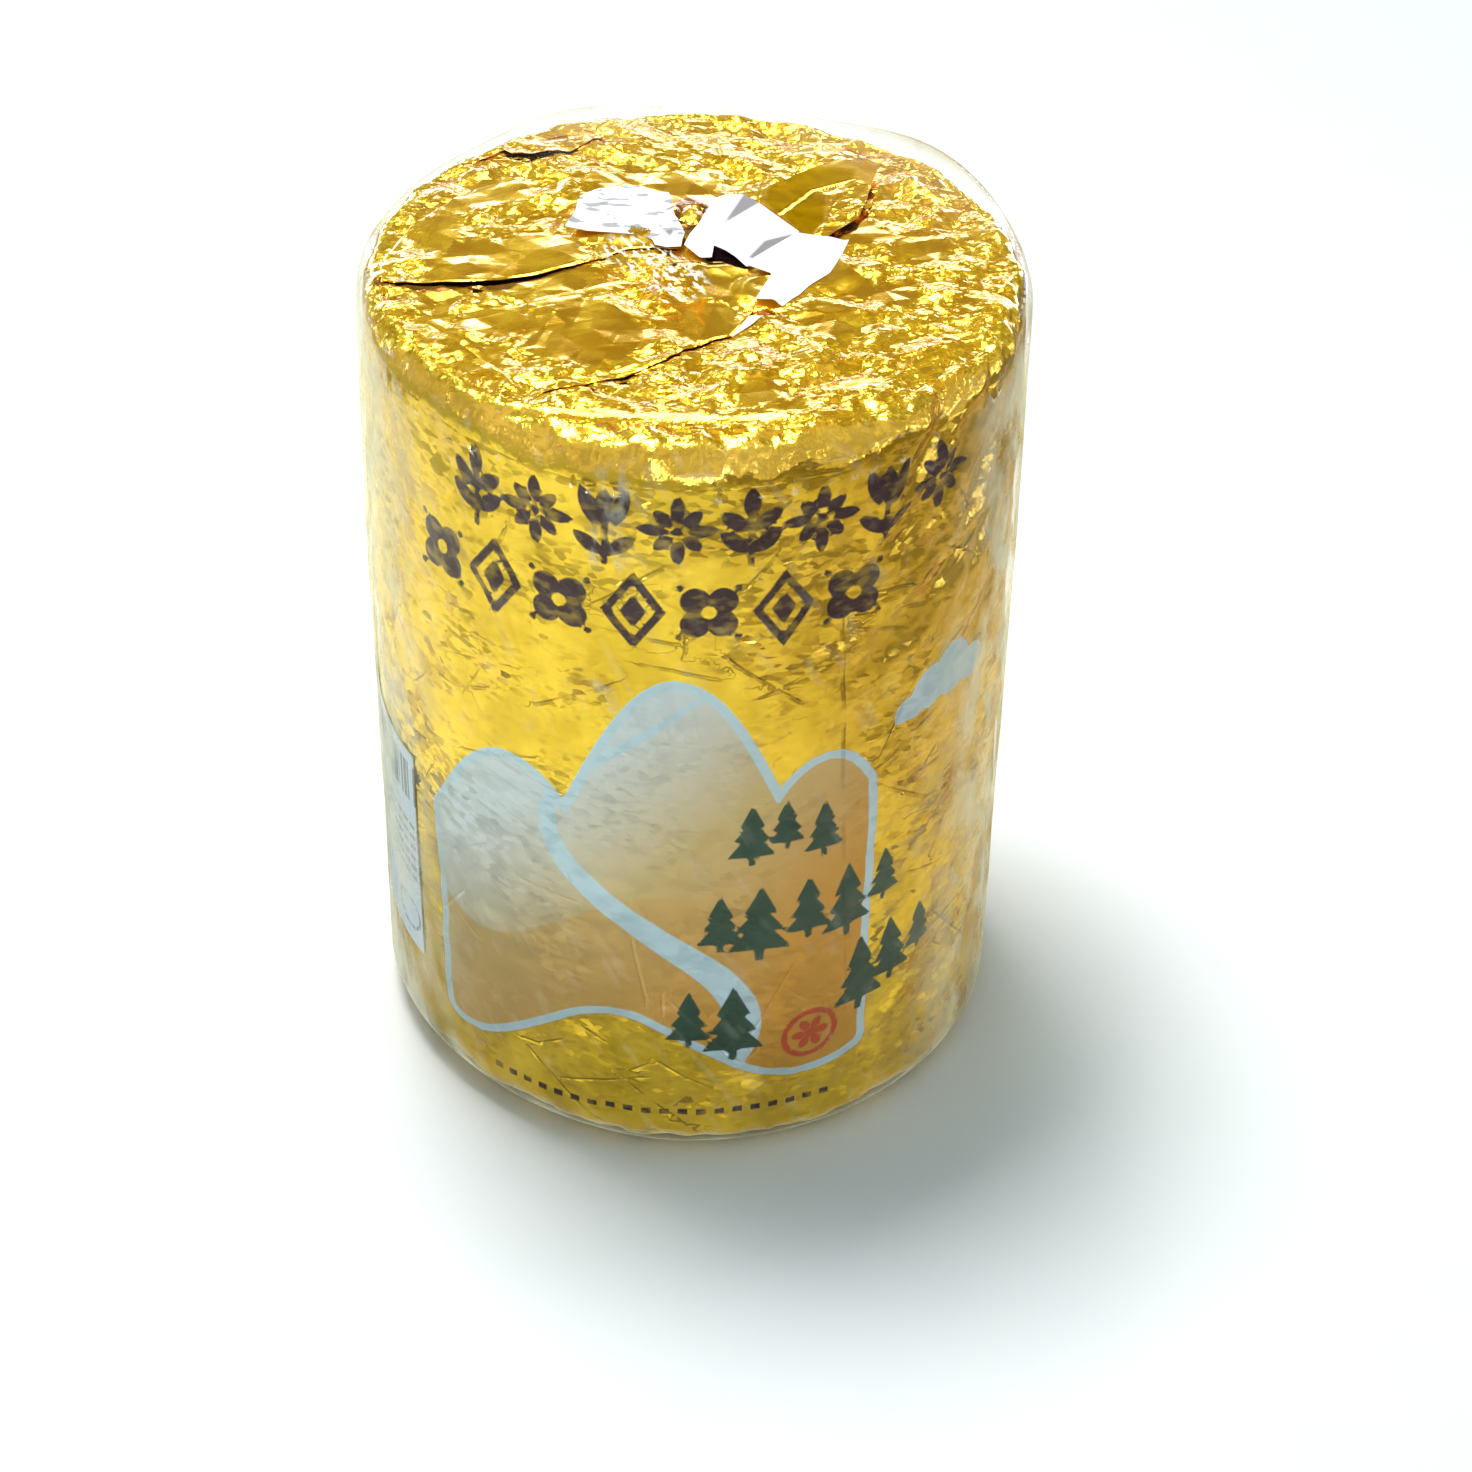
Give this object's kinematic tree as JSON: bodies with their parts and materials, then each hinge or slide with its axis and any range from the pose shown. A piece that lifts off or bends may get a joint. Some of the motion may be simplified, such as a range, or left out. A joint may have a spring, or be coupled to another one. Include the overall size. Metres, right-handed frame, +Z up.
{
  "type": "fourme d'ambert cheese",
  "caption": "Tall drum of blue cheese wrapped in crumpled gold foil, its ends folded over on top with silver tips turned back, with a side label and a clear film.",
  "frame": {"origin": "on the surface that the cheese stands on, under the middle of its outline", "axes": "+Z up along the drum; -Y towards the printed front; +X to the right of someone who looks at the printed front"},
  "size_m": [0.1338, 0.1348, 0.1795],
  "materials": {
    "gold_foil": "crumpled bright gold foil, printed on the side",
    "silver_foil": "bright bare foil",
    "label_paper": "smooth printed paper",
    "clear_film": "clear glossy film with small wrinkles"
  },
  "bodies": {
    "root": {"foil_wrapped_cheese": "gold_foil", "back_left_flap": "gold_foil", "front_flap": "gold_foil", "right_leaf": "gold_foil", "back_rim_fold": "gold_foil", "silver_left_tip": "silver_foil", "silver_back_tip": "silver_foil", "silver_right_tip": "silver_foil", "silver_front_tip": "silver_foil", "side_label": "label_paper", "film_overwrap": "clear_film"}
  },
  "joints": []
}
